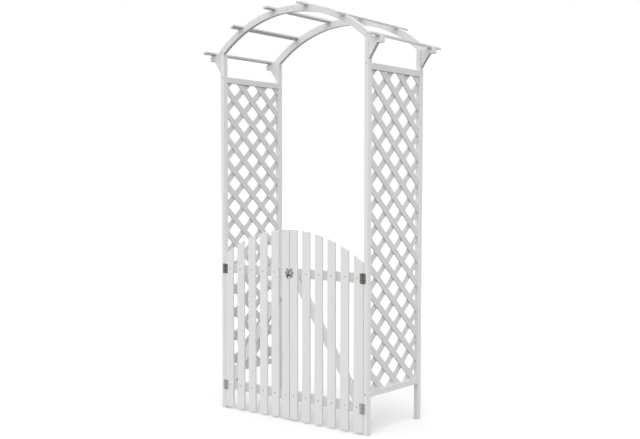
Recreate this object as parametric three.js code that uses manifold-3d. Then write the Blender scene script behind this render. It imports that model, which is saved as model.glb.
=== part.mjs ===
// Garden arch with a double-leaf picket gate, in painted softwood.
// Millimetres, +Z up. X runs along the gate, Y from front to back.
// Origin: on the ground, in the middle between the four posts.
import * as THREE from "three";
import { mergeVertices } from "three/addons/utils/BufferGeometryUtils.js";
import Module from "manifold-3d";

// ---------------------------------------------------------------- dimensions
const PASSAGE = 997; // clear width between the posts
const POST_W = 24; // post section along X
const POST_D = 32; // post section along Y
const POST_H = 2031; // post height
const POST_SPACING_Y = 468; // centre to centre, front to back

const PANEL_RAIL_H = 32; // top and bottom rails of the side panels
const PANEL_TOP_RAIL_Z = 1873; // underside of the top rail
const PANEL_BOTTOM_RAIL_Z = 199; // underside of the bottom rail

const SLAT_W = 34.5; // lattice slats
const SLAT_T = 6;
const LATTICE_PITCH_Y = 150.8; // from one opening to the next, level
const LATTICE_PITCH_Z = 136.7; // from one opening to the next, upright
const LATTICE_CROSS_Z = { left: 1775.4, right: 1766.6 }; // one crossing on
// the panel's centre line; the two mats are cut from the web at different places
const LATTICE_CLEAR = 0.2; // lattice to frame

const ARCH_CENTRE_Z = 1430; // centre of the arches' curve
const ARCH_R_OUT = 816;
const ARCH_R_IN = { front: 782, back: 776.5 };
const ARCH_T = 22; // thickness, flush with the outer faces of the posts
const REAR_DROP = 4.3; // the rear arch stands lower, more so on the right
const REAR_LEAN = 0.0062; // fall of the rear arch from left to right
const REAR_PIVOT_Z = 2195;
const ARCH_STEP = THREE.MathUtils.degToRad(1.5);
const LAP_HALF = 45; // half the length of the half-lap at the crown
const LAP_GAP = 0.4; // open joint at the ends of the lap

const BRACKET_T = 22; // brackets outside the post tops
const BRACKET_SET_BACK = 1.8; // behind the outer faces
const BRACKET_TIP_X = 606;
const BRACKET_NOSE_Z = 1997; // underside of the nose
const BRACKET_NOSE_REAR = 4; // how much lower the rear brackets' noses are
const BRACKET_NOSE_L = 32;
const BRACKET_DROP = 109; // height of the bracket against the post

const PURLIN_W = 29.5; // purlins: width, thickness, length
const PURLIN_T = 11;
const PURLIN_L = 636;
const PURLIN_ANGLES = [-26.2, -8.1, 8.1, 26.2]; // degrees from the crown
const PURLIN_SEAT_R = 811.5; // floor of the housings that let them into the arches
const PURLIN_EAVE_X = 577;
const PURLIN_EAVE_TILT = 7; // degrees, falling outwards
const EAVE_SEAT_X = [556, 560]; // the brackets rise here to the eave purlin's seat
const SEAT_GAP = 0.3; // tilted pieces to what they rest on
const FALL_GAP = 0.15; // more, for the fall over the arches' thickness
const REAR_GAP = 0.2; // over the rear posts, for the arch's lean

const PICKET_W = 53;
const PICKET_T = 11;
const PICKET_PITCH = 87.2;
const PICKET_FIRST = 50.5; // the seam pickets' outer edge, where the grid starts
const PICKET_COUNT = 6; // for each gate leaf
const PICKET_BOTTOM_Z = 10;
const GATE_SEAM = 5; // open joint between the two leaves
const SEAM_X = -5; // the leaves meet a little left of the middle
const GATE_SIDE_GAP = 2.5; // and between a leaf and its post
const CREST_CENTRE_Z = 181; // the picket tops follow one circle
const CREST_R = 868;
const GATE_RAIL_H = 52;
const GATE_RAIL_T = 16;
const UPPER_RAIL_Z = 812; // centre height
const LOWER_RAIL_Z = 138;
const BRACE_W = 50;
const BRACE_TOP_X = 25; // centre line of the brace at the upper rail
const BRACE_FOOT_X = 457; // and at the lower rail
const BRACE_GAP = 0.3;

const HINGE_OFFSET = 6; // pin's axis from the post's inner face
const HINGE_H = 53;
const HINGE_LEAF_W = 18; // from the pin's axis
const HINGE_LEAF_T = 1.75;
const KNUCKLE_R = 3.25;
const KNUCKLE_COUNT = 5;
const KNUCKLE_GAP = 0.4;
const PIN_R = 1.5;
const PIN_HOLE_R = 1.8;
const HINGE_HOLE_R = 1.9;
const HINGE_SINK_R = 3.4;

const LATCH_T = 2; // lobed plates
const LATCH_LOBES = [
  [14, 18],
  [21.5, 1],
  [15, -17],
];
const LATCH_LOBE_R = 8.5;
const LATCH_INNER = 1; // the plates reach over the edges of the pickets
const BUTTON_X = -11.5; // pivot of the turn button, from the seam
const BUTTON_W = 9;
const BUTTON_T = 3;
const BUTTON_LONG = 27; // pivot to the long end
const PIVOT_R = 2;
const PIVOT_HOLE_R = 2.3;
const PIVOT_HEAD_R = 4.2;

// ------------------------------------------------------------------- derived
const POST_X = PASSAGE / 2 + POST_W / 2;
const POST_Y = POST_SPACING_Y / 2;
const FRONT_Y = -POST_Y - POST_D / 2; // front face of the posts and the gate
const PANEL_Y = POST_Y - POST_D / 2; // half the clear depth between the posts
const LEAF_OUTER = PASSAGE / 2 - GATE_SIDE_GAP;
const AXIS_X = PASSAGE / 2 - HINGE_OFFSET; // hinge pins
const AXIS_Y = FRONT_Y - KNUCKLE_R;
const ARCH_Y = POST_Y + POST_D / 2 - ARCH_T / 2; // middle of the rear arch
const lower = (x) => REAR_DROP + REAR_LEAN * x; // rear arch against the front one
const RAIL_FRONT = FRONT_Y + PICKET_T;

// ------------------------------------------------------------ solid modelling
const wasm = await Module();
wasm.setup();

function toSolid(geometry) {
  const g = geometry.index ? geometry.toNonIndexed() : geometry.clone();
  g.deleteAttribute("normal");
  g.deleteAttribute("uv");
  const m = mergeVertices(g, 1e-4);
  return new wasm.Manifold(
    new wasm.Mesh({
      numProp: 3,
      vertProperties: m.attributes.position.array,
      triVerts: new Uint32Array(m.index.array),
    }),
  );
}

function toGeometry(solid) {
  const m = solid.getMesh();
  const out = new Float32Array(m.numVert * 3);
  for (let i = 0; i < m.numVert; i++)
    out.set(m.vertProperties.subarray(i * m.numProp, i * m.numProp + 3), i * 3);
  const g = new THREE.BufferGeometry();
  g.setAttribute("position", new THREE.BufferAttribute(out, 3));
  g.setIndex(new THREE.BufferAttribute(new Uint32Array(m.triVerts), 1));
  g.computeVertexNormals();
  return g;
}

const unite = (list) =>
  toGeometry(list.map(toSolid).reduce((a, b) => a.add(b)));
const cut = (from, ...tools) =>
  toGeometry(tools.map(toSolid).reduce((a, b) => a.subtract(b), toSolid(from)));

// A block from its lowest to its highest corner.
function block(x0, x1, y0, y1, z0, z1) {
  return new THREE.BoxGeometry(x1 - x0, y1 - y0, z1 - z0).translate(
    (x0 + x1) / 2,
    (y0 + y1) / 2,
    (z0 + z1) / 2,
  );
}

function shapeOf(points) {
  const s = new THREE.Shape();
  points.forEach(([a, b], i) => (i ? s.lineTo(a, b) : s.moveTo(a, b)));
  s.closePath();
  return s;
}

// A board seen from the front: the outline is in X and Z, from y0 back to y1.
function boardXZ(points, y0, y1) {
  return new THREE.ExtrudeGeometry(shapeOf(points), {
    depth: y1 - y0,
    bevelEnabled: false,
    steps: 1,
  })
    .rotateX(Math.PI / 2)
    .translate(0, y1, 0);
}

// A board seen from the side: the outline is in Y and Z, from x0 to x1.
function boardYZ(points, x0, x1) {
  return new THREE.ExtrudeGeometry(shapeOf(points), {
    depth: x1 - x0,
    bevelEnabled: false,
    steps: 1,
  })
    .applyMatrix4(
      new THREE.Matrix4().set(0, 0, 1, 0, 1, 0, 0, 0, 0, 1, 0, 0, 0, 0, 0, 1),
    )
    .translate(x0, 0, 0);
}

// A round bar along Z or Y.
const barZ = (r, z0, z1, n = 20) =>
  new THREE.CylinderGeometry(r, r, z1 - z0, n)
    .rotateX(Math.PI / 2)
    .translate(0, 0, (z0 + z1) / 2);
const barY = (r0, r1, y0, y1, n = 20) =>
  new THREE.CylinderGeometry(r1, r0, y1 - y0, n).translate(
    0,
    (y0 + y1) / 2,
    0,
  );

// Cuts a convex outline back to the inside of a rectangle.
function clip(points, u0, u1, v0, v1) {
  const keep = (poly, axis, limit, sign) => {
    const out = [];
    poly.forEach((p, i) => {
      const q = poly[(i + 1) % poly.length];
      const dp = sign * (p[axis] - limit);
      const dq = sign * (q[axis] - limit);
      if (dp >= 0) out.push(p);
      if (dp > 0 !== dq > 0 && dp !== dq && dp * dq < 0) {
        const t = dp / (dp - dq);
        const r = [p[0] + t * (q[0] - p[0]), p[1] + t * (q[1] - p[1])];
        r[axis] = limit;
        out.push(r);
      }
    });
    return out;
  };
  let poly = points;
  poly = keep(poly, 0, u0, 1);
  poly = keep(poly, 0, u1, -1);
  poly = keep(poly, 1, v0, 1);
  poly = keep(poly, 1, v1, -1);
  return poly;
}

function areaOf(poly) {
  let a = 0;
  poly.forEach(([x, y], i) => {
    const [u, v] = poly[(i + 1) % poly.length];
    a += x * v - u * y;
  });
  return Math.abs(a) / 2;
}

// ------------------------------------------------------------------ materials
const PAINT = { color: 0xe4e4e2, roughness: 0.62, metalness: 0 };
const SLAT_PAINT = { color: 0xdedfdf, roughness: 0.66, metalness: 0 };
const HINGE_STEEL = { color: 0x6b6b66, roughness: 0.45, metalness: 0.85 };
const PIN_STEEL = { color: 0x82827c, roughness: 0.35, metalness: 0.9 };
const LATCH_STEEL = { color: 0x8d8d88, roughness: 0.42, metalness: 0.85 };
const BUTTON_STEEL = { color: 0xa9a9a3, roughness: 0.38, metalness: 0.85 };

function piece(name, geometry, finish) {
  const m = new THREE.Mesh(geometry, new THREE.MeshStandardMaterial(finish));
  m.name = name;
  return m;
}

const SIDES = [
  ["left", -1],
  ["right", 1],
];
const ENDS = [
  ["front", -1],
  ["back", 1],
];

// ---------------------------------------------------------------- fixed frame
const arch = new THREE.Group();
const frame = new THREE.Group();
arch.add(frame);

// Posts.
for (const [end, e] of ENDS)
  for (const [side, s] of SIDES) {
    const h = POST_H - (e < 0 ? 0 : lower(s * POST_X) + REAR_GAP);
    const post = piece(
      `post_${end}_${side}`,
      new THREE.BoxGeometry(POST_W, POST_D, h),
      PAINT,
    );
    post.position.set(s * POST_X, e * POST_Y, h / 2);
    frame.add(post);
  }

// Side panels: two rails and a lattice mat between the posts.
function latticeMat(crossZ) {
  const slope = LATTICE_PITCH_Z / LATTICE_PITCH_Y;
  const half = (SLAT_W / 2) * Math.hypot(1, slope);
  const y = PANEL_Y - LATTICE_CLEAR;
  const z0 = PANEL_BOTTOM_RAIL_Z + PANEL_RAIL_H + LATTICE_CLEAR;
  const z1 = PANEL_TOP_RAIL_Z - LATTICE_CLEAR;
  const slats = [];
  for (const dir of [1, -1])
    for (let k = -16; k <= 5; k++) {
      const c = crossZ + k * LATTICE_PITCH_Z;
      const end = 400;
      const outline = clip(
        [
          [-end, c - dir * slope * end - half],
          [end, c + dir * slope * end - half],
          [end, c + dir * slope * end + half],
          [-end, c - dir * slope * end + half],
        ],
        -y,
        y,
        z0,
        z1,
      );
      if (outline.length < 3 || areaOf(outline) < 60) continue;
      // the rising slats lie inside, the falling ones outside, pressed together
      const [x0, x1] = dir > 0 ? [-SLAT_T, 0.2] : [-0.2, SLAT_T];
      slats.push(boardYZ(outline, x0, x1));
    }
  return unite(slats);
}

for (const [side, s] of SIDES) {
  const panel = new THREE.Group();
  panel.position.set(s * POST_X, 0, 0);
  for (const [where, z] of [
    ["top", PANEL_TOP_RAIL_Z],
    ["bottom", PANEL_BOTTOM_RAIL_Z],
  ])
    panel.add(
      piece(
        `panel_${where}_rail_${side}`,
        block(
          -POST_W / 2,
          POST_W / 2,
          -PANEL_Y,
          PANEL_Y,
          z,
          z + PANEL_RAIL_H,
        ),
        PAINT,
      ),
    );
  panel.add(
    piece(
      `panel_lattice_${side}`,
      latticeMat(LATTICE_CROSS_Z[side]),
      SLAT_PAINT,
    ),
  );
  frame.add(panel);
}

// Arches: each is two curved halves, half-lapped at the crown. All four halves
// are the same piece, turned half round about Z for the other side.
function archOutline(xFrom, xTo, rIn) {
  // from xFrom to xTo along the outer curve and back along the inner one;
  // a foot ends level on the post top, a lap end is cut upright
  const rise = POST_H - ARCH_CENTRE_Z;
  const along = (r, xa, xb) => {
    const a = Math.asin(xa / r);
    const b = Math.asin(xb / r);
    const n = Math.max(1, Math.ceil(Math.abs(b - a) / ARCH_STEP));
    return Array.from({ length: n + 1 }, (_, i) => {
      const t = a + ((b - a) * i) / n;
      return [r * Math.sin(t), ARCH_CENTRE_Z + r * Math.cos(t)];
    });
  };
  const footX = (r) => Math.sqrt(r * r - rise * rise);
  const ends = (r) =>
    [xFrom, xTo].map((x) => (x === "foot" ? -footX(r) : x));
  const outer = along(ARCH_R_OUT, ...ends(ARCH_R_OUT));
  const inner = along(rIn, ...ends(rIn)).reverse();
  if (xFrom === "foot") {
    outer[0][1] = POST_H;
    inner[inner.length - 1][1] = POST_H;
  }
  return [...outer, ...inner];
}

// A half that starts at the foot on -X; its tongue lies at -Y.
function archHalf(rIn) {
  const h = ARCH_T / 2;
  const housings = PURLIN_ANGLES.filter((a) => a < 0).map((a) =>
    block(
      -PURLIN_W / 2 - SEAT_GAP - FALL_GAP,
      PURLIN_W / 2 + SEAT_GAP + FALL_GAP,
      -h - 1,
      h + 1,
      PURLIN_SEAT_R,
      ARCH_R_OUT + 5,
    )
      .rotateY(THREE.MathUtils.degToRad(a))
      .translate(0, 0, ARCH_CENTRE_Z),
  );
  return cut(
    unite([
      boardXZ(archOutline("foot", -LAP_HALF, rIn), -h, h),
      boardXZ(archOutline(-LAP_HALF - 1, LAP_HALF - LAP_GAP, rIn), -h, -0.05),
    ]),
    ...housings,
  );
}

for (const [end, e] of ENDS) {
  const whole = new THREE.Group();
  whole.position.set(0, e * ARCH_Y, REAR_PIVOT_Z - (e < 0 ? 0 : REAR_DROP));
  whole.rotation.y = e < 0 ? 0 : Math.atan(REAR_LEAN);
  frame.add(whole);
  for (const [side, s] of SIDES) {
    const half = piece(
      `arch_${end}_${side}_half`,
      archHalf(ARCH_R_IN[end]),
      PAINT,
    );
    half.position.z = -REAR_PIVOT_Z;
    half.rotation.z = s > 0 ? Math.PI : 0;
    whole.add(half);
  }
}

// Brackets outside the post tops, under the arches' feet, with a slanting seat
// for the eave purlins.
const eaveSeatZ = (x) =>
  POST_H -
  (x - PURLIN_EAVE_X) * Math.tan(THREE.MathUtils.degToRad(PURLIN_EAVE_TILT));
for (const [end, e] of ENDS)
  for (const [side, s] of SIDES) {
    const root = POST_X + POST_W / 2;
    const y = e * (POST_Y + POST_D / 2 - BRACKET_SET_BACK - BRACKET_T / 2);
    // under the arch's foot, and under the purlin
    const [foot, seat] =
      e < 0 ? [0, 0] : [lower(s * (s < 0 ? root : EAVE_SEAT_X[0])) + REAR_GAP, lower(s * PURLIN_EAVE_X)];
    const nose = BRACKET_NOSE_Z - (e < 0 ? 0 : BRACKET_NOSE_REAR);
    const bracket = piece(
      `bracket_${end}_${side}`,
      boardXZ(
        [
          [s * root, POST_H - foot],
          [s * EAVE_SEAT_X[0], POST_H - foot],
          [s * EAVE_SEAT_X[1], eaveSeatZ(EAVE_SEAT_X[1]) - seat],
          [s * BRACKET_TIP_X, eaveSeatZ(BRACKET_TIP_X) - seat],
          [s * BRACKET_TIP_X, nose],
          [s * (BRACKET_TIP_X - BRACKET_NOSE_L), nose],
          [s * root, POST_H - BRACKET_DROP],
        ],
        -BRACKET_T / 2,
        BRACKET_T / 2,
      ),
      PAINT,
    );
    bracket.position.y = y;
    frame.add(bracket);
  }

// Purlins: four are housed in the arches' outer edges, two lie on the slanting
// seats of the brackets. All fall a little to the rear.
function purlin(name, x, z, tilt) {
  const p = piece(
    name,
    new THREE.BoxGeometry(PURLIN_W, PURLIN_L, PURLIN_T),
    PAINT,
  );
  const a = THREE.MathUtils.degToRad(tilt);
  const up = SEAT_GAP + FALL_GAP + PURLIN_T / 2;
  p.position.set(x + up * Math.sin(a), 0, z + up * Math.cos(a) - lower(x) / 2);
  p.rotation.set(-Math.atan(lower(x) / 2 / ARCH_Y), a, 0);
  frame.add(p);
}
["purlin_2", "purlin_3", "purlin_4", "purlin_5"].forEach((name, i) => {
  const a = THREE.MathUtils.degToRad(PURLIN_ANGLES[i]);
  purlin(
    name,
    PURLIN_SEAT_R * Math.sin(a),
    ARCH_CENTRE_Z + PURLIN_SEAT_R * Math.cos(a),
    PURLIN_ANGLES[i],
  );
});
purlin("purlin_1", -PURLIN_EAVE_X, POST_H, -PURLIN_EAVE_TILT);
purlin("purlin_6", PURLIN_EAVE_X, POST_H, PURLIN_EAVE_TILT);

// --------------------------------------------------------------------- hinges
// One hinge leaf in its own frame: the pin's axis is Z at the origin, the
// plate reaches to -X and lies against the wood at y = KNUCKLE_R.
function hingeLeaf(knuckles) {
  const step = (HINGE_H + KNUCKLE_GAP) / KNUCKLE_COUNT;
  const back = KNUCKLE_R;
  const front = KNUCKLE_R - HINGE_LEAF_T;
  const clear = KNUCKLE_R + KNUCKLE_GAP;
  const h = HINGE_H / 2;
  const solids = [block(-HINGE_LEAF_W, -clear, front, back, -h, h)];
  const bores = [];
  for (const k of knuckles) {
    const z0 = -h + k * step;
    const z1 = z0 + step - KNUCKLE_GAP;
    solids.push(block(-clear - 0.5, 0, front, back, z0, z1));
    solids.push(barZ(KNUCKLE_R, z0, z1, 14));
  }
  bores.push(barZ(PIN_HOLE_R, -h - 1, h + 1, 10));
  // three countersunk screw holes
  for (const z of [-h + 8, 0, h - 8]) {
    const x = -clear - (HINGE_LEAF_W - clear) / 2 - (z ? 1.2 : -1.2);
    bores.push(
      barY(HINGE_HOLE_R, HINGE_HOLE_R, front - 1, back + 1, 10).translate(
        x,
        0,
        z,
      ),
    );
    bores.push(
      barY(HINGE_SINK_R + 0.5, HINGE_HOLE_R, front - 0.5, back - 0.25, 10).translate(
        x,
        0,
        z,
      ),
    );
  }
  return cut(unite(solids), ...bores);
}

// The pin: a round bar with a low domed head at each end.
function hingePin() {
  const h = HINGE_H / 2;
  const tip = h + 0.4;
  const profile = [
    [0, -tip - 1.6],
    [1.6, -tip - 1.4],
    [2.6, -tip - 0.7],
    [2.7, -tip],
    [PIN_R, -tip],
    [PIN_R, tip],
    [2.7, tip],
    [2.6, tip + 0.7],
    [1.6, tip + 1.4],
    [0, tip + 1.6],
  ].map(([r, z]) => new THREE.Vector2(r, z));
  return toGeometry(
    toSolid(new THREE.LatheGeometry(profile, 10).rotateX(Math.PI / 2)),
  );
}

// ----------------------------------------------------------------------- gate
const crest = (x) =>
  CREST_CENTRE_Z + Math.sqrt(CREST_R * CREST_R - x * x);

function gateLeaf(side, s) {
  // its inner edge, measured outwards from the middle of the passage
  const inner = s * SEAM_X + GATE_SEAM / 2;
  // the group stands on the leaf's hinge axis
  const leaf = new THREE.Group();
  leaf.position.set(s * AXIS_X, AXIS_Y, 0);
  const local = (points) => points.map(([x, z]) => [s * (x - AXIS_X), z]);
  const y = (v) => v - AXIS_Y;

  // pickets, numbered from the hinge side to the seam
  for (let i = 0; i < PICKET_COUNT; i++) {
    // the hinge picket reaches out to the end of the leaf, and the seam picket
    // lies at its inner edge
    const k = PICKET_COUNT - 1 - i;
    const edge = PICKET_FIRST + k * PICKET_PITCH;
    const x1 = k ? (i ? edge : LEAF_OUTER) : inner + PICKET_W;
    const x0 = (k ? edge : x1) - PICKET_W;
    leaf.add(
      piece(
        `gate_${side}_picket_${i + 1}`,
        boardXZ(
          local([
            [x0, PICKET_BOTTOM_Z],
            [x1, PICKET_BOTTOM_Z],
            [x1, crest(x1)],
            [x0, crest(x0)],
          ]),
          y(FRONT_Y),
          y(FRONT_Y + PICKET_T),
        ),
        PAINT,
      ),
    );
  }

  // rails across the backs of the pickets
  for (const [where, z] of [
    ["upper", UPPER_RAIL_Z],
    ["lower", LOWER_RAIL_Z],
  ])
    leaf.add(
      piece(
        `gate_${side}_${where}_rail`,
        boardXZ(
          local([
            [inner, z - GATE_RAIL_H / 2],
            [LEAF_OUTER, z - GATE_RAIL_H / 2],
            [LEAF_OUTER, z + GATE_RAIL_H / 2],
            [inner, z + GATE_RAIL_H / 2],
          ]),
          y(RAIL_FRONT),
          y(RAIL_FRONT + GATE_RAIL_T),
        ),
        PAINT,
      ),
    );

  // brace between the rails, down to the hinge side
  const zTop = UPPER_RAIL_Z - GATE_RAIL_H / 2;
  const zFoot = LOWER_RAIL_Z + GATE_RAIL_H / 2;
  const dx = BRACE_FOOT_X - BRACE_TOP_X;
  const dz = zTop - zFoot;
  const w = (BRACE_W / 2) * Math.hypot(1, dx / dz); // half width on the level
  const out = 0.2;
  const outline = clip(
    [
      [BRACE_TOP_X - out * dx - w, zTop + out * dz],
      [BRACE_FOOT_X + out * dx - w, zFoot - out * dz],
      [BRACE_FOOT_X + out * dx + w, zFoot - out * dz],
      [BRACE_TOP_X - out * dx + w, zTop + out * dz],
    ],
    inner + 0.5,
    LEAF_OUTER - 0.5,
    zFoot + BRACE_GAP,
    zTop - BRACE_GAP,
  );
  leaf.add(
    piece(
      `gate_${side}_brace`,
      boardXZ(local(outline), y(RAIL_FRONT), y(RAIL_FRONT + GATE_RAIL_T)),
      PAINT,
    ),
  );
  return leaf;
}

const mirrorX = (g) => {
  // a mirrored copy with its faces turned back out
  const m = g.clone().applyMatrix4(new THREE.Matrix4().makeScale(-1, 1, 1));
  const idx = m.index.array;
  for (let i = 0; i < idx.length; i += 3)
    [idx[i + 1], idx[i + 2]] = [idx[i + 2], idx[i + 1]];
  m.computeVertexNormals();
  return m;
};

for (const [side, s] of SIDES) {
  arch.add(gateLeaf(side, s));
  for (const [where, z] of [
    ["upper", UPPER_RAIL_Z],
    ["lower", LOWER_RAIL_Z],
  ]) {
    const hinge = new THREE.Group();
    hinge.position.set(s * AXIS_X, AXIS_Y, z);
    // on the right side the gate is at -X of the pin and the post at +X
    const gatePlate = hingeLeaf([1, 3]);
    const postPlate = hingeLeaf([0, 2, 4]);
    hinge.add(
      piece(
        `hinge_${where}_${side}_gate_leaf`,
        s > 0 ? gatePlate : mirrorX(gatePlate),
        HINGE_STEEL,
      ),
      piece(
        `hinge_${where}_${side}_post_leaf`,
        s > 0 ? mirrorX(postPlate) : postPlate,
        HINGE_STEEL,
      ),
      piece(`hinge_${where}_${side}_pin`, hingePin(), PIN_STEEL),
    );
    arch.add(hinge);
  }
}

// ---------------------------------------------------------------------- latch
const latch = new THREE.Group();
latch.position.set(SEAM_X, FRONT_Y, UPPER_RAIL_Z);
arch.add(latch);

// Half of a lobed plate, on the side of the seam that s names.
function latchPlate(s) {
  const disc = ([x, z], r) =>
    barY(r, r, -LATCH_T, 0, 18).translate(x, 0, z);
  const waist = block(LATCH_INNER, 18, -LATCH_T, 0, -14, 15);
  const arms = LATCH_LOBES.map(([x, z]) => {
    const len = Math.hypot(x - 6, z);
    return block(0, len, -LATCH_T, 0, -4, 4)
      .rotateY(-Math.atan2(z, x - 6))
      .translate(6, 0, 0);
  });
  let solid = unite([
    waist,
    ...arms,
    ...LATCH_LOBES.map((p) => disc(p, LATCH_LOBE_R)),
  ]);
  const tools = [block(-60, LATCH_INNER, -10, 10, -60, 60)];
  for (const [x, z] of LATCH_LOBES)
    tools.push(barY(1.9, 1.9, -LATCH_T - 1, 1, 10).translate(x, 0, z));
  if (s < 0)
    tools.push(
      barY(PIVOT_HOLE_R, PIVOT_HOLE_R, -5, 5, 14).translate(-BUTTON_X, 0, 0),
    );
  solid = cut(solid, ...tools);
  return s > 0 ? solid : mirrorX(solid);
}

// The turn button hangs down from its pivot at rest, clear of the seam, and
// swings up to the level to reach across the seam.
function turnButton() {
  const y0 = -LATCH_T - 0.3 - BUTTON_T;
  const y1 = -LATCH_T - 0.3;
  const r = BUTTON_W / 2;
  const tip = 3.2;
  const body = unite([
    barY(r + 1.4, r + 1.4, y0, y1, 24),
    boardXZ(
      [
        [-r, 3],
        [r, 3],
        [tip, -BUTTON_LONG + tip],
        [-tip, -BUTTON_LONG + tip],
      ],
      y0,
      y1,
    ),
    barY(tip, tip, y0, y1, 20).translate(0, 0, -BUTTON_LONG + tip),
  ]);
  return cut(body, barY(PIVOT_HOLE_R, PIVOT_HOLE_R, y0 - 1, y1 + 1, 14));
}

// The pivot: a domed rivet through the button and the left plate.
function pivot() {
  const head = -LATCH_T - 0.3 - BUTTON_T - 0.3;
  const profile = [
    [0, head - 2.2],
    [PIVOT_HEAD_R * 0.33, head - 2.1],
    [PIVOT_HEAD_R * 0.66, head - 1.7],
    [PIVOT_HEAD_R * 0.92, head - 0.9],
    [PIVOT_HEAD_R, head],
    [PIVOT_R, head],
    [PIVOT_R, -0.3],
    [0, -0.3],
  ].map(([r, y]) => new THREE.Vector2(r, y));
  return toGeometry(toSolid(new THREE.LatheGeometry(profile, 16)));
}

latch.add(
  piece("latch_plate_left", latchPlate(-1), LATCH_STEEL),
  piece("latch_plate_right", latchPlate(1), LATCH_STEEL),
);
const button = new THREE.Group();
button.position.x = BUTTON_X;
button.add(
  piece("latch_turn_button", turnButton(), BUTTON_STEEL),
  piece("latch_pivot", pivot(), LATCH_STEEL),
);
latch.add(button);

export default arch;
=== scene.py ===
import math
import random

import bmesh
import bpy
from mathutils import Matrix, Vector
from mathutils.geometry import delaunay_2d_cdt


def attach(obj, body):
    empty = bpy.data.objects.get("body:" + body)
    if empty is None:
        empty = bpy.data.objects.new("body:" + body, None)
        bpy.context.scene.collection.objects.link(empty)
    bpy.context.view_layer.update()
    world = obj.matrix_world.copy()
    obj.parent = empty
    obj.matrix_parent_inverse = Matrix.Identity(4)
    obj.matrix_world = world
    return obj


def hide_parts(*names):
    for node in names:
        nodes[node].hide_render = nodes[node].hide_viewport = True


# Garden arch with a double-leaf picket gate: finishes, small fixings, light
# and camera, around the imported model. Metres, +Z up.

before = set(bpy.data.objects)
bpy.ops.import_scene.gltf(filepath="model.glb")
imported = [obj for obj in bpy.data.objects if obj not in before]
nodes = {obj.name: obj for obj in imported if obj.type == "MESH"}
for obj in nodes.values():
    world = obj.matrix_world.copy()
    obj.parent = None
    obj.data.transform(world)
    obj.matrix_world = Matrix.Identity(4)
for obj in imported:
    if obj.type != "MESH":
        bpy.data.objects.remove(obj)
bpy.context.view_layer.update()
scene = bpy.context.scene
rng = random.Random(11)

# ------------------------------------------------------------------- dimensions
POST_X = 0.5105
POST_Y = 0.234
FRONT_Y = -0.250
PANEL_Y = 0.218
POST_H = 2.031
ARCH_Z = 1.430
ARCH_R_MID = 0.799
PURLIN_TOP_R = 0.82295
ARCH_Y = 0.239
PURLIN_ANGLES = (-26.2, -8.1, 8.1, 26.2)
PURLIN_EAVE_X = 0.577
PURLIN_EAVE_TILT = math.radians(7)
SLAT_W = 0.0345
SLAT_T = 0.006
LATTICE_Y = 0.1508
LATTICE_Z = 0.1367
LATTICE_C = {"left": 1.7754, "right": 1.7666}
LATTICE_Z0 = 0.2312
LATTICE_Z1 = 1.8728
PICKET_PITCH = 0.0872
PICKET_SCREW = 0.0265
SEAM_X = -0.005
UPPER_Z = 0.812
LOWER_Z = 0.138
AXIS_X = 0.4925
AXIS_Y = -0.25325


# ------------------------------------------------------------------ node helper
class Graph:
    """Adds shader nodes. A value given for an input is a number or a socket."""

    def __init__(self, tree):
        self.tree = tree

    def add(self, kind, props=None, **inputs):
        n = self.tree.nodes.new(kind)
        for k, v in (props or {}).items():
            setattr(n, k, v)
        for k, v in inputs.items():
            self.put(n.inputs[k.replace("_", " ")], v)
        return n

    def put(self, socket, value):
        if isinstance(value, bpy.types.NodeSocket):
            self.tree.links.new(value, socket)
        elif value is not None:
            socket.default_value = value

    def math(self, op, a, b=None, clamp=False):
        n = self.tree.nodes.new("ShaderNodeMath")
        n.operation = op
        n.use_clamp = clamp
        self.put(n.inputs[0], a)
        if b is not None:
            self.put(n.inputs[1], b)
        return n.outputs[0]

    def vector(self, x, y, z):
        n = self.tree.nodes.new("ShaderNodeCombineXYZ")
        for s, v in zip(n.inputs, (x, y, z)):
            self.put(s, v)
        return n.outputs[0]

    def stretch(self, vec, scale, offset=(0, 0, 0)):
        n = self.tree.nodes.new("ShaderNodeMapping")
        self.put(n.inputs["Vector"], vec)
        n.inputs["Scale"].default_value = scale
        n.inputs["Location"].default_value = offset
        return n.outputs[0]

    def noise(self, vec, scale, detail=2.0, rough=0.5, distort=0.0, offset=(0, 0, 0)):
        n = self.tree.nodes.new("ShaderNodeTexNoise")
        self.put(n.inputs["Vector"], self.stretch(vec, scale, offset))
        n.inputs["Scale"].default_value = 1.0
        n.inputs["Detail"].default_value = detail
        n.inputs["Roughness"].default_value = rough
        n.inputs["Distortion"].default_value = distort
        return n.outputs[0]

    def ramp(self, value, a, b, lo=0.0, hi=1.0, smooth=True):
        n = self.tree.nodes.new("ShaderNodeMapRange")
        n.interpolation_type = "SMOOTHSTEP" if smooth else "LINEAR"
        self.put(n.inputs[0], value)
        for i, v in enumerate((a, b, lo, hi)):
            n.inputs[1 + i].default_value = v
        return n.outputs[0]

    def mix(self, factor, a, b, mode="MIX"):
        n = self.tree.nodes.new("ShaderNodeMix")
        n.data_type = "RGBA"
        n.blend_type = mode
        n.clamp_factor = True
        self.put(n.inputs["Factor"], factor)
        for s, v in ((6, a), (7, b)):
            if isinstance(v, tuple) and len(v) == 3:
                v = (*v, 1.0)
            self.put(n.inputs[s], v)
        return n.outputs[2]

    def bump(self, height, distance, strength=1.0, normal=None):
        n = self.tree.nodes.new("ShaderNodeBump")
        n.inputs["Strength"].default_value = strength
        n.inputs["Distance"].default_value = distance
        self.put(n.inputs["Height"], height)
        if normal is not None:
            self.put(n.inputs["Normal"], normal)
        return n.outputs[0]


def new_material(name):
    m = bpy.data.materials.new(name)
    m.use_nodes = True
    m.node_tree.nodes.clear()
    return m, Graph(m.node_tree)


def principled(g, **inputs):
    out = g.add("ShaderNodeOutputMaterial")
    b = g.add("ShaderNodeBsdfPrincipled")
    for k, v in inputs.items():
        g.put(b.inputs[k.replace("_", " ")], v)
    g.tree.links.new(b.outputs[0], out.inputs[0])
    return b


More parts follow.
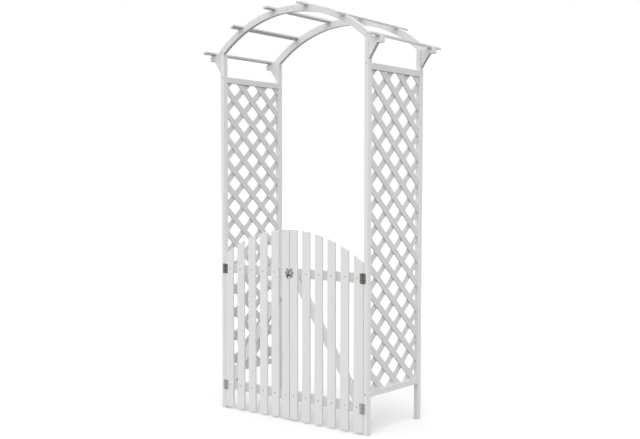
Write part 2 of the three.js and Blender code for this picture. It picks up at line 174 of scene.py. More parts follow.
# -------------------------------------------------------------------- materials
PAINT = (0.815, 0.82, 0.822)
PAINT_THIN = (0.70, 0.675, 0.61)
PAINT_SHADE = (0.62, 0.62, 0.60)
KNOT = (0.66, 0.60, 0.46)


def board_coords(g, grain):
    """Where a point is in its board, as (across, across, along) in metres, and
    how far its surface is turned to the end of the grain."""
    tc = g.add("ShaderNodeTexCoord")
    p = g.add("ShaderNodeSeparateXYZ")
    q = g.add("ShaderNodeSeparateXYZ")
    g.put(p.inputs[0], tc.outputs["Object"])
    g.put(q.inputs[0], tc.outputs["Normal"])
    x, y, z = p.outputs
    nx, ny, nz = q.outputs
    if grain == "z":
        return g.vector(x, y, z), g.math("ABSOLUTE", nz)
    if grain == "y":
        return g.vector(x, z, y), g.math("ABSOLUTE", ny)
    if grain == "x":
        return g.vector(y, z, x), g.math("ABSOLUTE", nx)
    if grain == "slat":
        a = g.add("ShaderNodeAttribute", {"attribute_name": "grain"})
        e = g.add("ShaderNodeAttribute", {"attribute_name": "end"})
        return a.outputs["Vector"], e.outputs["Fac"]
    c, s = math.cos(grain), math.sin(grain)
    along = g.math("ADD", g.math("MULTIPLY", x, c), g.math("MULTIPLY", z, s))
    across = g.math("ADD", g.math("MULTIPLY", x, -s), g.math("MULTIPLY", z, c))
    end = g.math("ADD", g.math("MULTIPLY", nx, c), g.math("MULTIPLY", nz, s))
    return g.vector(across, y, along), g.math("ABSOLUTE", end)


def painted_softwood(name, grain, seed, tone=1.0, rough=0.5, deep=0.014, shade_and_dirt=0.34, underside_shade=0.0):
    """White paint, brushed along the board, over planed pine."""
    m, g = new_material(name)
    r = random.Random(seed)
    off = tuple(r.uniform(-40, 40) for _ in range(3))
    p, end = board_coords(g, grain)
    fibre = g.noise(p, (1100, 1100, 16), 3, 0.62, 0.0, off)
    brush = g.noise(p, (330, 330, 7), 2, 0.55, 0.3, off)
    rings = g.noise(p, (20, 20, 0.9), 1.5, 0.45, 0.25, off)
    bands = g.math("SINE", g.math("MULTIPLY", rings, 70.0))
    blotch = g.noise(p, (9, 9, 3.2), 3, 0.6, 0.0, off)
    pits = g.noise(p, (620, 620, 60), 1, 0.5, 0.0, off)
    ends = g.ramp(end, 0.72, 0.9)

    # sparse small knots
    v = g.add("ShaderNodeTexVoronoi", {"feature": "F1"})
    g.put(v.inputs["Vector"], g.stretch(p, (17, 17, 4.2), off))
    v.inputs["Scale"].default_value = 1.0
    v.inputs["Randomness"].default_value = 0.85
    pick = g.add("ShaderNodeSeparateColor")
    g.put(pick.inputs[0], v.outputs["Color"])
    some = g.math("GREATER_THAN", pick.outputs[0], 0.90)
    dist = v.outputs["Distance"]
    knot = g.math("MULTIPLY", g.ramp(dist, 0.17, 0.07), some)
    knot_rim = g.math(
        "MULTIPLY",
        g.math("MULTIPLY", g.ramp(dist, 0.23, 0.17), g.ramp(dist, 0.10, 0.15)),
        some,
    )

    # thin paint along the edges; darkening in the corners found by occlusion: painted shade, with some dust
    geo = g.add("ShaderNodeNewGeometry")
    bev = g.add("ShaderNodeBevel", {"samples": 4}, Radius=0.0016)
    dot = g.add("ShaderNodeVectorMath", {"operation": "DOT_PRODUCT"})
    g.put(dot.inputs[0], geo.outputs["Normal"])
    g.put(dot.inputs[1], bev.outputs[0])
    edge = g.ramp(g.math("SUBTRACT", 1.0, dot.outputs["Value"]), 0.02, 0.16)
    worn = g.math("MULTIPLY", edge, g.ramp(g.noise(p, (160, 160, 22), 3, 0.65, 0, off), 0.45, 0.68))
    ao = g.add("ShaderNodeAmbientOcclusion", {"samples": 4, "only_local": False}, Distance=deep)
    corner_shade_and_dust = g.math("SUBTRACT", 1.0, ao.outputs["AO"])
    corner_shade_and_dust = g.math("MULTIPLY", corner_shade_and_dust, g.ramp(blotch, 0.3, 0.7, 0.35, 1.0))

    base = tuple(c * tone for c in PAINT)
    colour = g.mix(g.ramp(blotch, 0.3, 0.72), base, tuple(c * tone * 0.972 for c in PAINT))
    colour = g.mix(g.math("MULTIPLY", g.ramp(bands, 0.3, 1.0), 0.17), colour, tuple(c * tone * f for c, f in zip(PAINT, (0.93, 0.925, 0.905))))
    colour = g.mix(g.math("MULTIPLY", g.ramp(fibre, 0.55, 0.8), 0.16), colour, PAINT_SHADE)
    colour = g.mix(g.math("MULTIPLY", g.ramp(brush, 0.58, 0.8), 0.10), colour, PAINT_SHADE)
    colour = g.mix(g.math("MULTIPLY", knot, 0.34), colour, KNOT)
    colour = g.mix(g.math("MULTIPLY", ends, 0.30), colour, PAINT_SHADE)
    colour = g.mix(g.math("MULTIPLY", worn, 0.42), colour, PAINT_THIN)
    # corners darkened toward grey: painted shade, with some dust
    colour = g.mix(g.math("MULTIPLY", corner_shade_and_dust, shade_and_dirt), colour, (0.46, 0.455, 0.43))

    if underside_shade:
        # faces turned down are darkened toward brown in patches: painted shade on the undersides
        q = g.add("ShaderNodeSeparateXYZ")
        g.put(q.inputs[0], geo.outputs["Normal"])
        down = g.ramp(g.math("MULTIPLY", q.outputs[2], -1.0), 0.35, 0.75)
        patchy = g.ramp(blotch, 0.25, 0.65, 0.7, 1.0)
        colour = g.mix(g.math("MULTIPLY", g.math("MULTIPLY", down, patchy), underside_shade), colour, (0.24, 0.205, 0.165))

    roughness = g.ramp(brush, 0.3, 0.75, rough - 0.07, rough + 0.08)
    roughness = g.math("ADD", roughness, g.math("MULTIPLY", ends, 0.16))
    height = g.math("ADD", g.math("MULTIPLY", fibre, 0.34), g.math("MULTIPLY", brush, 0.42))
    height = g.math("ADD", height, g.math("MULTIPLY", bands, 0.10))
    height = g.math("ADD", height, g.math("MULTIPLY", g.math("MULTIPLY", pits, ends), 0.9))
    height = g.math("ADD", height, g.math("MULTIPLY", knot_rim, 0.8))
    height = g.math("SUBTRACT", height, g.math("MULTIPLY", worn, 0.25))
    normal = g.bump(height, 0.0002, 0.5)
    principled(g, Base_Color=colour, Roughness=roughness, Normal=normal)
    return m


def plated_steel(name, seed, base, dark, rough, metallic=0.85, rust=0.15, brushed=0.0, painted_button_light=False):
    """Thin plating that has gone dull, with darker patches and bright edges."""
    m, g = new_material(name)
    r = random.Random(seed)
    off = tuple(r.uniform(-40, 40) for _ in range(3))
    tc = g.add("ShaderNodeTexCoord")
    p = tc.outputs["Object"]
    patch = g.noise(p, (150, 150, 150), 4, 0.62, 0.4, off)
    speck = g.noise(p, (900, 900, 900), 2, 0.6, 0.0, off)
    lines = g.noise(p, (2600, 2600, 90), 2, 0.5, 0.0, off)
    geo = g.add("ShaderNodeNewGeometry")
    bev = g.add("ShaderNodeBevel", {"samples": 4}, Radius=0.0005)
    dot = g.add("ShaderNodeVectorMath", {"operation": "DOT_PRODUCT"})
    g.put(dot.inputs[0], geo.outputs["Normal"])
    g.put(dot.inputs[1], bev.outputs[0])
    edge = g.ramp(g.math("SUBTRACT", 1.0, dot.outputs["Value"]), 0.02, 0.2)
    # darkening in crevices found by occlusion: painted shade, with some grime
    ao = g.add("ShaderNodeAmbientOcclusion", {"samples": 4, "only_local": False}, Distance=0.003)
    crevice_shade_and_grime = g.math("SUBTRACT", 1.0, ao.outputs["AO"])
    colour = g.mix(g.ramp(patch, 0.36, 0.66), base, dark)
    colour = g.mix(g.math("MULTIPLY", g.ramp(speck, 0.55, 0.75), 0.35), colour, dark)
    colour = g.mix(g.math("MULTIPLY", edge, 0.5), colour, tuple(min(1.0, c * 1.7) for c in base))
    colour = g.mix(g.math("MULTIPLY", g.ramp(patch, 0.58, 0.75), rust), colour, (0.24, 0.13, 0.07))
    colour = g.mix(g.math("MULTIPLY", crevice_shade_and_grime, 0.55), colour, tuple(c * 0.4 for c in dark))
    if painted_button_light:
        # a pale bar and pale slanting strips at the seam, with a dark patch below them: painted highlights and a
        # painted shadow on the latch plates
        q = g.add("ShaderNodeSeparateXYZ")
        g.put(q.inputs[0], p)
        u = g.math("ABSOLUTE", g.math("SUBTRACT", q.outputs[0], SEAM_X))
        w = g.math("SUBTRACT", q.outputs[2], UPPER_Z)
        band = lambda v, a, b, soft: g.math("MULTIPLY", g.ramp(v, a - soft, a + soft), g.ramp(v, b + soft, b - soft))
        painted_button_shadow = g.math("MULTIPLY", band(u, 0.0005, 0.0105, 0.0012), band(w, -0.0180, -0.0055, 0.0012))
        painted_bar_highlight = g.math("MULTIPLY", band(u, -0.002, 0.0150, 0.0014), band(w, -0.0042, 0.0002, 0.0009))
        slope = g.math("SUBTRACT", w, g.math("MULTIPLY", u, 0.72))
        painted_slant_highlight = g.math("MULTIPLY", band(u, 0.0050, 0.0200, 0.0014), band(slope, -0.0022, 0.0014, 0.0009))
        colour = g.mix(g.math("MULTIPLY", painted_button_shadow, 0.88), colour, (0.035, 0.034, 0.030))
        colour = g.mix(g.math("MULTIPLY", g.math("MAXIMUM", painted_bar_highlight, painted_slant_highlight), 0.8), colour, (0.74, 0.74, 0.72))
    roughness = g.math("ADD", g.ramp(patch, 0.3, 0.7, rough - 0.06, rough + 0.12), g.math("MULTIPLY", speck, 0.06))
    height = g.math("ADD", g.math("MULTIPLY", speck, 0.5), g.math("MULTIPLY", lines, 0.25 + brushed))
    normal = g.bump(height, 0.00012, 0.5)
    principled(g, Base_Color=colour, Roughness=roughness, Normal=normal, Metallic=metallic)
    return m


# upper and lower hinges are one steel with a darker and a lighter base colour: painted shade on the upper ones, a
# painted floor reflection on the lower ones
HINGE_UPPER_SHADED_COPY = plated_steel("hinge_steel_upper", 3, (0.17, 0.17, 0.158), (0.11, 0.11, 0.10), 0.44)
HINGE_LOWER_LIT_COPY = plated_steel("hinge_steel_lower", 13, (0.46, 0.455, 0.445), (0.33, 0.325, 0.31), 0.46)
PIN = plated_steel("pin_steel", 4, (0.36, 0.36, 0.34), (0.20, 0.20, 0.18), 0.34, rust=0.08)
LATCH = plated_steel("latch_steel", 5, (0.36, 0.36, 0.345), (0.22, 0.22, 0.205), 0.42, rust=0.06, brushed=0.3, painted_button_light=True)
BUTTON = plated_steel("button_steel", 6, (0.17, 0.17, 0.16), (0.10, 0.10, 0.09), 0.36, rust=0.05)
PIVOT = plated_steel("pivot_steel", 7, (0.62, 0.62, 0.60), (0.42, 0.42, 0.40), 0.30, rust=0.02)
SCREW = plated_steel("screw_steel", 8, (0.40, 0.40, 0.38), (0.24, 0.235, 0.21), 0.36, rust=0.12)
SCREW_DULL = plated_steel("screw_steel_dull", 10, (0.56, 0.555, 0.53), (0.40, 0.395, 0.37), 0.45, metallic=0.4, rust=0.08)
STAPLE = plated_steel("staple_steel", 9, (0.60, 0.60, 0.585), (0.46, 0.455, 0.43), 0.42, metallic=0.45, rust=0.12)


# ------------------------------------------------------- CAD nodes: edges, paint
def smooth_group():
    """Joins the faces, shades them smooth and keeps edges over 35 degrees sharp."""
    t = bpy.data.node_groups.new("join_and_smooth", "GeometryNodeTree")
    t.interface.new_socket("Geometry", in_out="INPUT", socket_type="NodeSocketGeometry")
    t.interface.new_socket("Geometry", in_out="OUTPUT", socket_type="NodeSocketGeometry")
    gi = t.nodes.new("NodeGroupInput")
    go = t.nodes.new("NodeGroupOutput")
    drop = t.nodes.new("GeometryNodeRemoveAttribute")
    drop.inputs["Name"].default_value = "custom_normal"
    merge = t.nodes.new("GeometryNodeMergeByDistance")
    merge.inputs["Distance"].default_value = 0.00001
    faces = t.nodes.new("GeometryNodeSetShadeSmooth")
    faces.domain = "FACE"
    faces.inputs["Shade Smooth"].default_value = True
    angle = t.nodes.new("GeometryNodeInputMeshEdgeAngle")
    over = t.nodes.new("FunctionNodeCompare")
    over.data_type = "FLOAT"
    over.operation = "GREATER_THAN"
    over.inputs["B"].default_value = math.radians(35)
    edges = t.nodes.new("GeometryNodeSetShadeSmooth")
    edges.domain = "EDGE"
    edges.inputs["Shade Smooth"].default_value = False
    ln = t.links.new
    ln(gi.outputs[0], drop.inputs["Geometry"])
    ln(drop.outputs["Geometry"], merge.inputs["Geometry"])
    ln(merge.outputs[0], faces.inputs["Geometry"])
    ln(faces.outputs[0], edges.inputs["Geometry"])
    ln(angle.outputs["Unsigned Angle"], over.inputs["A"])
    ln(over.outputs[0], edges.inputs["Selection"])
    ln(edges.outputs[0], go.inputs[0])
    return t


JOIN = smooth_group()


def ease_edges(obj, width, segments, planar=True):
    join = obj.modifiers.new("join", "NODES")
    join.node_group = JOIN
    if planar:
        flat = obj.modifiers.new("flat", "DECIMATE")
        flat.decimate_type = "DISSOLVE"
        flat.angle_limit = math.radians(0.4)
    bevel = obj.modifiers.new("eased_edges", "BEVEL")
    bevel.width = width
    bevel.segments = segments
    bevel.limit_method = "ANGLE"
    bevel.angle_limit = math.radians(32)
    bevel.miter_outer = "MITER_ARC"
    bevel.harden_normals = False
    normals = obj.modifiers.new("normals", "WEIGHTED_NORMAL")
    normals.keep_sharp = True


def dress(node, material):
    obj = nodes[node]
    obj.data.materials.clear()
    obj.data.materials.append(material)
    return obj


ARCH_GRAIN = math.atan2(0.199, 0.526)
BRACE_GRAIN = math.atan2(-(0.786 - 0.164), 0.457 - 0.025)
WOOD = {}
for end in ("front", "back"):
    for side in ("left", "right"):
        s = 1 if side == "right" else -1
        WOOD[f"post_{end}_{side}"] = "z"
        WOOD[f"arch_{end}_{side}_half"] = -s * ARCH_GRAIN
        WOOD[f"bracket_{end}_{side}"] = "x"
for side in ("left", "right"):
    s = 1 if side == "right" else -1
    WOOD[f"panel_top_rail_{side}"] = "y"
    WOOD[f"panel_bottom_rail_{side}"] = "y"
    WOOD[f"gate_{side}_upper_rail"] = "x"
    WOOD[f"gate_{side}_lower_rail"] = "x"
    WOOD[f"gate_{side}_brace"] = s * BRACE_GRAIN
    for i in range(1, 7):
        WOOD[f"gate_{side}_picket_{i}"] = "z"
for i in range(1, 7):
    WOOD[f"purlin_{i}"] = "y"

for i, (name, grain) in enumerate(sorted(WOOD.items())):
    tone = 1.0 + rng.uniform(-0.012, 0.008)
    deep, shade_and_dirt = 0.014, 0.34
    if name.startswith("gate_") and "picket" not in name:
        # the gate's rails and braces get a darker paint tone and a deeper, stronger corner darkening: painted shade
        # behind the pickets
        tone, deep, shade_and_dirt = tone * (0.87 if "rail" in name else 0.955), 0.04, 0.55
    # the brackets get a deeper, stronger corner darkening: painted shade in the corner under the nose
    if name.startswith("bracket"):
        deep, shade_and_dirt = 0.03, 0.7
    # per-piece paint tones: the purlins darker; the front-right bracket, back posts, pickets and front posts lighter.
    # Painted shade and painted light, as lit and shaded copies of one white paint
    tone *= {"purlin_1": 0.72, "purlin_2": 0.86, "purlin_3": 0.84, "bracket_front_right": 1.07, "post_back_left": 1.03, "post_back_right": 1.03}.get(name, 1.0)
    if "picket" in name or name.startswith("post_front"):
        tone *= 1.06
    # how strongly the undersides of brackets and arches are darkened: painted shade
    underside_shade = {"bracket": 0.85, "arch": 0.36}.get(name.split("_")[0], 0.0)
    dress(name, painted_softwood("paint_" + name, grain, 100 + i, tone, 0.5, deep, shade_and_dirt, underside_shade))
    ease_edges(nodes[name], 0.0011, 3)

STEEL = {"latch_plate_left": LATCH, "latch_plate_right": LATCH, "latch_turn_button": BUTTON, "latch_pivot": PIVOT}
for where in ("upper", "lower"):
    for side in ("left", "right"):
        STEEL[f"hinge_{where}_{side}_gate_leaf"] = HINGE_UPPER_SHADED_COPY if where == "upper" else HINGE_LOWER_LIT_COPY
        STEEL[f"hinge_{where}_{side}_post_leaf"] = HINGE_UPPER_SHADED_COPY if where == "upper" else HINGE_LOWER_LIT_COPY
        STEEL[f"hinge_{where}_{side}_pin"] = PIN
for name, material in STEEL.items():
    dress(name, material)
    ease_edges(nodes[name], 0.00022, 2)


# ------------------------------------------------------------------ mesh pieces
def piece(name, bm, material, body, replaces=()):
    mesh = bpy.data.meshes.new(name)
    bm.to_mesh(mesh)
    bm.free()
    mesh.materials.append(material)
    obj = bpy.data.objects.new(name, mesh)
    scene.collection.objects.link(obj)
    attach(obj, body)
    if replaces:
        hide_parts(*replaces)
    return obj


def screw_template(radius):
    """A raised countersunk head with a cross recess: vertices and faces, with
    the wood's surface at z = 0 and the head standing out along +Z."""
    n = 20
    rim_z, top_z, floor_z = radius * 0.09, radius * 0.30, radius * 0.05
    arm, half = radius * 0.56, radius * 0.13
    ring = lambda r, k=n: [(r * math.cos(2 * math.pi * i / k), r * math.sin(2 * math.pi * i / k)) for i in range(k)]
    cross = [(half, -arm), (half, -half), (arm, -half), (arm, half), (half, half), (half, arm),
             (-half, arm), (-half, half), (-arm, half), (-arm, -half), (-half, -half), (-half, -arm)]
    flat = ring(radius) + ring(radius * 0.80) + cross
    loop = lambda a, k: [(a + i, a + (i + 1) % k) for i in range(k)]
    edges = loop(0, n) + loop(n, n) + loop(2 * n, 12)
    verts, _, faces, *_ = delaunay_2d_cdt([Vector(p) for p in flat], edges, [], 0, 1e-9)
    def in_cross(x, y):
        return (abs(x) < half and abs(y) < arm) or (abs(y) < half and abs(x) < arm)
    out_v, out_f = [], []
    for p in verts:
        q = math.hypot(p.x, p.y) / radius
        out_v.append(Vector((p.x, p.y, rim_z + (top_z - rim_z) * math.sqrt(max(0.0, 1 - q * q)))))
    for f in faces:
        c = sum((verts[i] for i in f), Vector((0, 0))) / len(f)
        if c.length < radius and not in_cross(c.x, c.y):
            a, b, d = (verts[i] for i in f[:3])
            turn = (b.x - a.x) * (d.y - a.y) - (b.y - a.y) * (d.x - a.x)
            out_f.append(tuple(f) if turn > 0 else tuple(reversed(f)))
    # walls and floor of the recess
    near = lambda x, y: min(range(len(verts)), key=lambda i: (verts[i].x - x) ** 2 + (verts[i].y - y) ** 2)
    top = [near(x, y) for x, y in cross]
    low = []
    for x, y in cross:
        low.append(len(out_v))
        out_v.append(Vector((x * 0.84, y * 0.84, floor_z)))
    for i in range(12):
        j = (i + 1) % 12
        out_f.append((top[i], top[j], low[j], low[i]))
    hub = [low[i] for i in (1, 4, 7, 10)]
    out_f.append(tuple(hub))
    for a, b, c, d in ((0, 1, 10, 11), (2, 3, 4, 1), (5, 6, 7, 4), (8, 9, 10, 7)):
        out_f.append(tuple(low[i] for i in (a, b, c, d)))
    # skirt down into the wood
    rim = [near(radius * math.cos(2 * math.pi * i / n), radius * math.sin(2 * math.pi * i / n)) for i in range(n)]
    base = []
    for i in range(n):
        base.append(len(out_v))
        a = 2 * math.pi * i / n
        out_v.append(Vector((radius * 0.9 * math.cos(a), radius * 0.9 * math.sin(a), -radius * 0.12)))
    for i in range(n):
        j = (i + 1) % n
        out_f.append((rim[j], rim[i], base[i], base[j]))
    out_f.append(tuple(reversed(base)))
    return out_v, out_f


HEADS = {r: screw_template(r) for r in (0.0037, 0.0028, 0.0024)}


def add_screw(bm, at, outward, radius=0.0037, sink=0.0):
    verts, faces = HEADS[radius]
    q = Vector(outward).normalized().to_track_quat("Z", "Y").to_matrix().to_4x4()
    m = Matrix.Translation(Vector(at) - Vector(outward).normalized() * sink) @ q @ Matrix.Rotation(rng.uniform(0, math.pi), 4, "Z")
    made = [bm.verts.new(m @ v) for v in verts]
    for f in faces:
        bm.faces.new([made[i] for i in f]).smooth = False


FRONT, BACK = (0, -1, 0), (0, 1, 0)


def lower(x):
    """How much lower the rear arch stands than the front one."""
    return 0.0043 + 0.0062 * x



# Frame: rail ends in the posts, arch laps and feet, brackets, purlins, and the
# post side of the hinges. The ones in the arches have more paint on them.
bm = bmesh.new()
dull = bmesh.new()
for s in (-1, 1):
    for e, out in ((-1, FRONT), (1, BACK)):
        for z in (1.902, 0.2145):
            add_screw(bm, (s * POST_X, e * 0.250, z), out)
        low = lambda x: lower(x) if e > 0 else 0.0
        add_screw(dull, (s * 0.5145, e * 0.250, 2.0465 - low(s * 0.5145)), out)
        # into the post through the bracket's slanting underside
        if e < 0:
            add_screw(dull, (s * 0.54825, -0.2372, 1.9595), (s * 0.8244, 0, -0.5660))
        else:
            add_screw(dull, (s * 0.54825, 0.2372, 1.9575), (s * 0.8093, 0, -0.5874))
        n = Vector((s * math.sin(PURLIN_EAVE_TILT), 0, math.cos(PURLIN_EAVE_TILT)))
        fall = lower(s * PURLIN_EAVE_X)
        at = Vector((s * PURLIN_EAVE_X, e * 0.2372, POST_H - fall * (0.5 + e * 0.5 * 0.2372 / ARCH_Y)))
        add_screw(dull, at + n * 0.01145, n + Vector((0, fall / 2 / ARCH_Y, 0)))
    for z in (UPPER_Z, LOWER_Z):
        for dz in (-0.0185, 0.0, 0.0185):
            dx = 0.0120 if dz else 0.0096
            add_screw(bm, (s * (AXIS_X + dx), FRONT_Y - 0.00175, z + dz), FRONT, 0.0028, 0.0007)
for e, out in ((-1, FRONT), (1, BACK)):
    low = lower(0.0) if e > 0 else 0.0
    add_screw(dull, (e * 0.014, e * 0.250, 2.2262 - low), out)
    add_screw(dull, (-e * 0.021, e * 0.250, 2.2335 - low), out)
    for a in PURLIN_ANGLES:
        t = math.radians(a)
        n = Vector((math.sin(t), 0, math.cos(t)))
        fall = lower((PURLIN_TOP_R - 0.0115) * math.sin(t))
        at = n * PURLIN_TOP_R + Vector((0, e * ARCH_Y, ARCH_Z - (fall if e > 0 else 0.0)))
        add_screw(dull, at, n + Vector((0, fall / 2 / ARCH_Y, 0)))
piece("screws_frame", bm, SCREW, "root")
piece("screws_frame_dull", dull, SCREW_DULL, "root")

# Gate leaves: one screw for each picket on each rail, the gate side of the
# hinges, and the latch plates.
LOBES = ((0.014, 0.018), (0.0215, 0.001), (0.015, -0.017))
for side, s in (("left", -1), ("right", 1)):
    bm = bmesh.new()
    for i in range(6):
        x = PICKET_SCREW + i * PICKET_PITCH if i else 0.029 + s * SEAM_X
        for z in (UPPER_Z + 0.001, LOWER_Z + 0.003):
            if i == 0 and z > 0.5:
                continue
            if i == 5:
                x -= 0.006 if z > 0.5 else 0.0
            add_screw(bm, (s * (x + rng.uniform(-0.0015, 0.0015)), FRONT_Y, z + rng.uniform(-0.0015, 0.0015)), FRONT)
    for z in (UPPER_Z, LOWER_Z):
        for dz in (-0.0185, 0.0, 0.0185):
            dx = 0.0120 if dz else 0.0096
            add_screw(bm, (s * (AXIS_X - dx), FRONT_Y - 0.00175, z + dz), FRONT, 0.0028, 0.0007)
    for x, z in LOBES:
        add_screw(bm, (SEAM_X + s * x, FRONT_Y - 0.002, UPPER_Z + z), FRONT, 0.0024)
    piece(f"screws_gate_{side}", bm, SCREW, f"gate_{side}")


# Lattice mats: separate slats with eased edges, stapled where they cross.
def clip(poly, u0, u1, v0, v1):
    for axis, limit, sign in ((0, u0, 1), (0, u1, -1), (1, v0, 1), (1, v1, -1)):
        out = []
        for i, p in enumerate(poly):
            q = poly[(i + 1) % len(poly)]
            dp, dq = sign * (p[axis] - limit), sign * (q[axis] - limit)
            if dp >= 0:
                out.append(p)
            if dp * dq < 0:
                t = dp / (dp - dq)
                r = [p[0] + t * (q[0] - p[0]), p[1] + t * (q[1] - p[1])]
                r[axis] = limit
                out.append(tuple(r))
        poly = out
    return poly


def area(poly):
    return abs(sum(a[0] * b[1] - b[0] * a[1] for a, b in zip(poly, poly[1:] + poly[:1]))) / 2


SLOPE = LATTICE_Z / LATTICE_Y
RUN = math.hypot(1, SLOPE)


def lattice(side, s):
    bm = bmesh.new()
    grain = bm.verts.layers.float_vector.new("grain")
    ends = bm.verts.layers.float.new("end")
    half = SLAT_W / 2 * RUN
    y = PANEL_Y - 0.0002
    for turn in (1, -1):
        for k in range(-16, 6):
            c = LATTICE_C[side] + k * LATTICE_Z
            reach = 0.4
            outline = clip(
                [
                    (-reach, c - turn * SLOPE * reach - half),
                    (reach, c + turn * SLOPE * reach - half),
                    (reach, c + turn * SLOPE * reach + half),
                    (-reach, c - turn * SLOPE * reach + half),
                ],
                -y, y, LATTICE_Z0, LATTICE_Z1,
            )
            if len(outline) < 3 or area(outline) < 6e-5:
                continue
            x0, x1 = (-SLAT_T, 0.0) if turn > 0 else (0.0, SLAT_T)
            slat = bmesh.new()
            low = [slat.verts.new((s * POST_X + x0, a, b)) for a, b in outline]
            top = [slat.verts.new((s * POST_X + x1, a, b)) for a, b in outline]
            slat.faces.new(low)
            slat.faces.new(top)
            for i in range(len(low)):
                j = (i + 1) % len(low)
                slat.faces.new((low[i], low[j], top[j], top[i]))
            bmesh.ops.recalc_face_normals(slat, faces=slat.faces)
            bmesh.ops.bevel(slat, geom=list(slat.edges), offset=0.0007, segments=2, profile=0.6, affect="EDGES", clamp_overlap=True)
            u = Vector((0, 1 / RUN, turn * SLOPE / RUN))
            w = Vector((0, -turn * SLOPE / RUN, 1 / RUN))
            shift = Vector(rng.uniform(-30, 30) for _ in range(3))
            lift = rng.uniform(-0.00025, 0.0)
            made = {}
            for v in slat.verts:
                n = bm.verts.new(v.co + Vector((lift if turn > 0 else -lift, 0, 0)))
                along = v.co.dot(u)
                n[grain] = Vector((v.co.dot(w), v.co.x, along)) + shift
                near_end = abs(abs(v.co.y) - y) < 0.0012 or v.co.z < LATTICE_Z0 + 0.0012 or v.co.z > LATTICE_Z1 - 0.0012
                n[ends] = 1.0 if near_end else 0.0
                made[v] = n
            for f in slat.faces:
                bm.faces.new([made[v] for v in f.verts]).smooth = False
            slat.free()
    return piece(f"lattice_slats_{side}", bm, SLATS, "root", [f"panel_lattice_{side}"])


def staples(side, s):
    bm = bmesh.new()
    seen = set()
    for i in range(-16, 6):
        for j in range(-16, 6):
            y = (j - i) * LATTICE_Y / 2
            z = LATTICE_C[side] + (i + j) * LATTICE_Z / 2
            if abs(y) > PANEL_Y - 0.02 or not LATTICE_Z0 + 0.02 < z < LATTICE_Z1 - 0.02 or (i, j) in seen:
                continue
            seen.add((i, j))
            turn = rng.uniform(-0.35, 0.35) + (math.pi / 2 if rng.random() < 0.5 else 0)
            at = Vector((s * POST_X + SLAT_T, y + rng.uniform(-0.003, 0.003), z + rng.uniform(-0.003, 0.003)))
            a = Vector((0, math.cos(turn), math.sin(turn)))
            b = Vector((0, -math.sin(turn), math.cos(turn)))
            n = Vector((1, 0, 0))
            half, wide = 0.0052, 0.0006
            # a flat wire: leg, bend, crown, bend, leg
            path = [(-half, -0.0008), (-half * 0.985, 0.00012), (-half * 0.93, 0.00036), (0, 0.00042), (half * 0.93, 0.00036), (half * 0.985, 0.00012), (half, -0.0008)]
            rows = []
            for t, h in path:
                c = at + a * t + n * h
                rows.append([bm.verts.new(c + b * q + n * r) for q, r in ((-wide, -0.0004), (-wide, 0.0), (-wide * 0.6, 0.00022), (wide * 0.6, 0.00022), (wide, 0.0), (wide, -0.0004))])
            for p, q in zip(rows, rows[1:]):
                for k in range(6):
                    m = (k + 1) % 6
                    bm.faces.new((p[k], p[m], q[m], q[k]))
            bm.faces.new(rows[0])
            bm.faces.new(list(reversed(rows[-1])))
    bmesh.ops.recalc_face_normals(bm, faces=bm.faces)
    return piece(f"lattice_staples_{side}", bm, STAPLE, "root")


SLATS = painted_softwood("paint_slats", "slat", 71, 1.02, 0.56)
for side, s in (("left", -1), ("right", 1)):
    lattice(side, s)
    staples(side, s)


# ------------------------------------------------------------------ floor, light
def stage_floor():
    """A wide pale floor of smooth screed, a little uneven in tone."""
    bm = bmesh.new()
    n = 96
    rings = [1.2, 3.0, 8.0, 22.0, 60.0, 160.0]
    centre = bm.verts.new((0, 0, 0))
    last = None
    for q in rings:
        row = [bm.verts.new((q * math.cos(2 * math.pi * i / n), q * math.sin(2 * math.pi * i / n), 0)) for i in range(n)]
        for i in range(n):
            j = (i + 1) % n
            if last is None:
                bm.faces.new((centre, row[i], row[j]))
            else:
                bm.faces.new((last[i], row[i], row[j], last[j]))
        last = row
    mesh = bpy.data.meshes.new("floor")
    bm.to_mesh(mesh)
    bm.free()
    m, g = new_material("floor_pale")
    tc = g.add("ShaderNodeTexCoord")
    cloud = g.noise(tc.outputs["Object"], (0.7, 0.7, 0.7), 4, 0.55)
    grit = g.noise(tc.outputs["Object"], (160, 160, 160), 2, 0.5)
    seen = g.mix(g.ramp(cloud, 0.3, 0.7), (0.868, 0.868, 0.868), (0.856, 0.856, 0.856))
    reach = g.add("ShaderNodeVectorMath", {"operation": "LENGTH"})
    g.put(reach.inputs[0], tc.outputs["Object"])
    # paler with distance from the middle: the darker middle is painted shade around the object, and the far floor
    # blends into the white backdrop
    seen = g.mix(g.ramp(reach.outputs["Value"], 1.6, 7.0), seen, (0.935, 0.935, 0.935))
    seen = g.mix(g.math("MULTIPLY", grit, 0.03), seen, (0.7, 0.7, 0.7))
    # the floor returns little light to the object's undersides
    path = g.add("ShaderNodeLightPath")
    colour = g.mix(path.outputs["Is Diffuse Ray"], seen, (0.20, 0.192, 0.182))
    b = principled(g, Base_Color=colour, Roughness=0.9, Normal=g.bump(grit, 0.0003, 0.2))
    b.inputs["Specular IOR Level"].default_value = 0.0
    mesh.materials.append(m)
    obj = bpy.data.objects.new("floor", mesh)
    scene.collection.objects.link(obj)
    return obj


stage_floor()

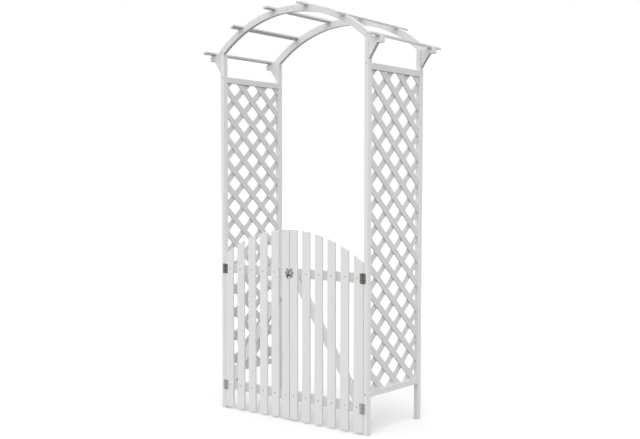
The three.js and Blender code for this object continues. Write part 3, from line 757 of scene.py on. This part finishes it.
# Studio light: a bright tent that is strongest above the front and fades to the
# floor, and one wide soft lamp from the front right.
world = bpy.data.worlds.new("studio")
scene.world = world
world.use_nodes = True
wt = world.node_tree
wt.nodes.clear()
g = Graph(wt)
tc = g.add("ShaderNodeTexCoord")
dot = g.add("ShaderNodeVectorMath", {"operation": "DOT_PRODUCT"})
g.put(dot.inputs[0], tc.outputs["Generated"])
dot.inputs[1].default_value = Vector((0.26, -0.42, 0.87)).normalized()
tent = g.ramp(dot.outputs["Value"], -1.0, 1.0, 0.12, 1.47, smooth=False)
sep = g.add("ShaderNodeSeparateXYZ")
g.put(sep.inputs[0], tc.outputs["Generated"])
tint = g.mix(g.ramp(sep.outputs[0], -0.2, 1.0), (1.0, 0.997, 0.985), (0.975, 0.99, 1.02))
tent = g.mix(1.0, tint, tent, "MULTIPLY")
path = g.add("ShaderNodeLightPath")
seen = g.mix(path.outputs["Is Camera Ray"], tent, (1.0, 1.0, 1.0))
bg = g.add("ShaderNodeBackground", Color=seen, Strength=1.0)
out = g.add("ShaderNodeOutputWorld")
wt.links.new(bg.outputs[0], out.inputs[0])

lamp = bpy.data.lights.new("key", "SUN")
lamp.energy = 0.55
lamp.angle = math.radians(50)
lamp.color = (1.0, 0.99, 0.97)
key = bpy.data.objects.new("key", lamp)
key.rotation_euler = Vector((-0.30, 0.62, -0.72)).to_track_quat("-Z", "Y").to_euler()
scene.collection.objects.link(key)

# ----------------------------------------------------------------------- camera
cam_data = bpy.data.cameras.new("camera")
cam = bpy.data.objects.new("camera", cam_data)
scene.collection.objects.link(cam)
cam.location = (3.4037, -4.1578, 1.2757)
cam.rotation_euler = (math.radians(86.333), math.radians(-0.053), math.radians(39.26))
cam_data.sensor_width = 36
cam_data.lens = 53.8465
cam_data.shift_x = 0.0
cam_data.shift_y = 0.0461
cam_data.clip_start = 0.05
cam_data.clip_end = 200
scene.camera = cam

scene.view_settings.view_transform = "Standard"
scene.view_settings.look = "None"
scene.view_settings.exposure = 0.0
scene.view_settings.gamma = 1.0
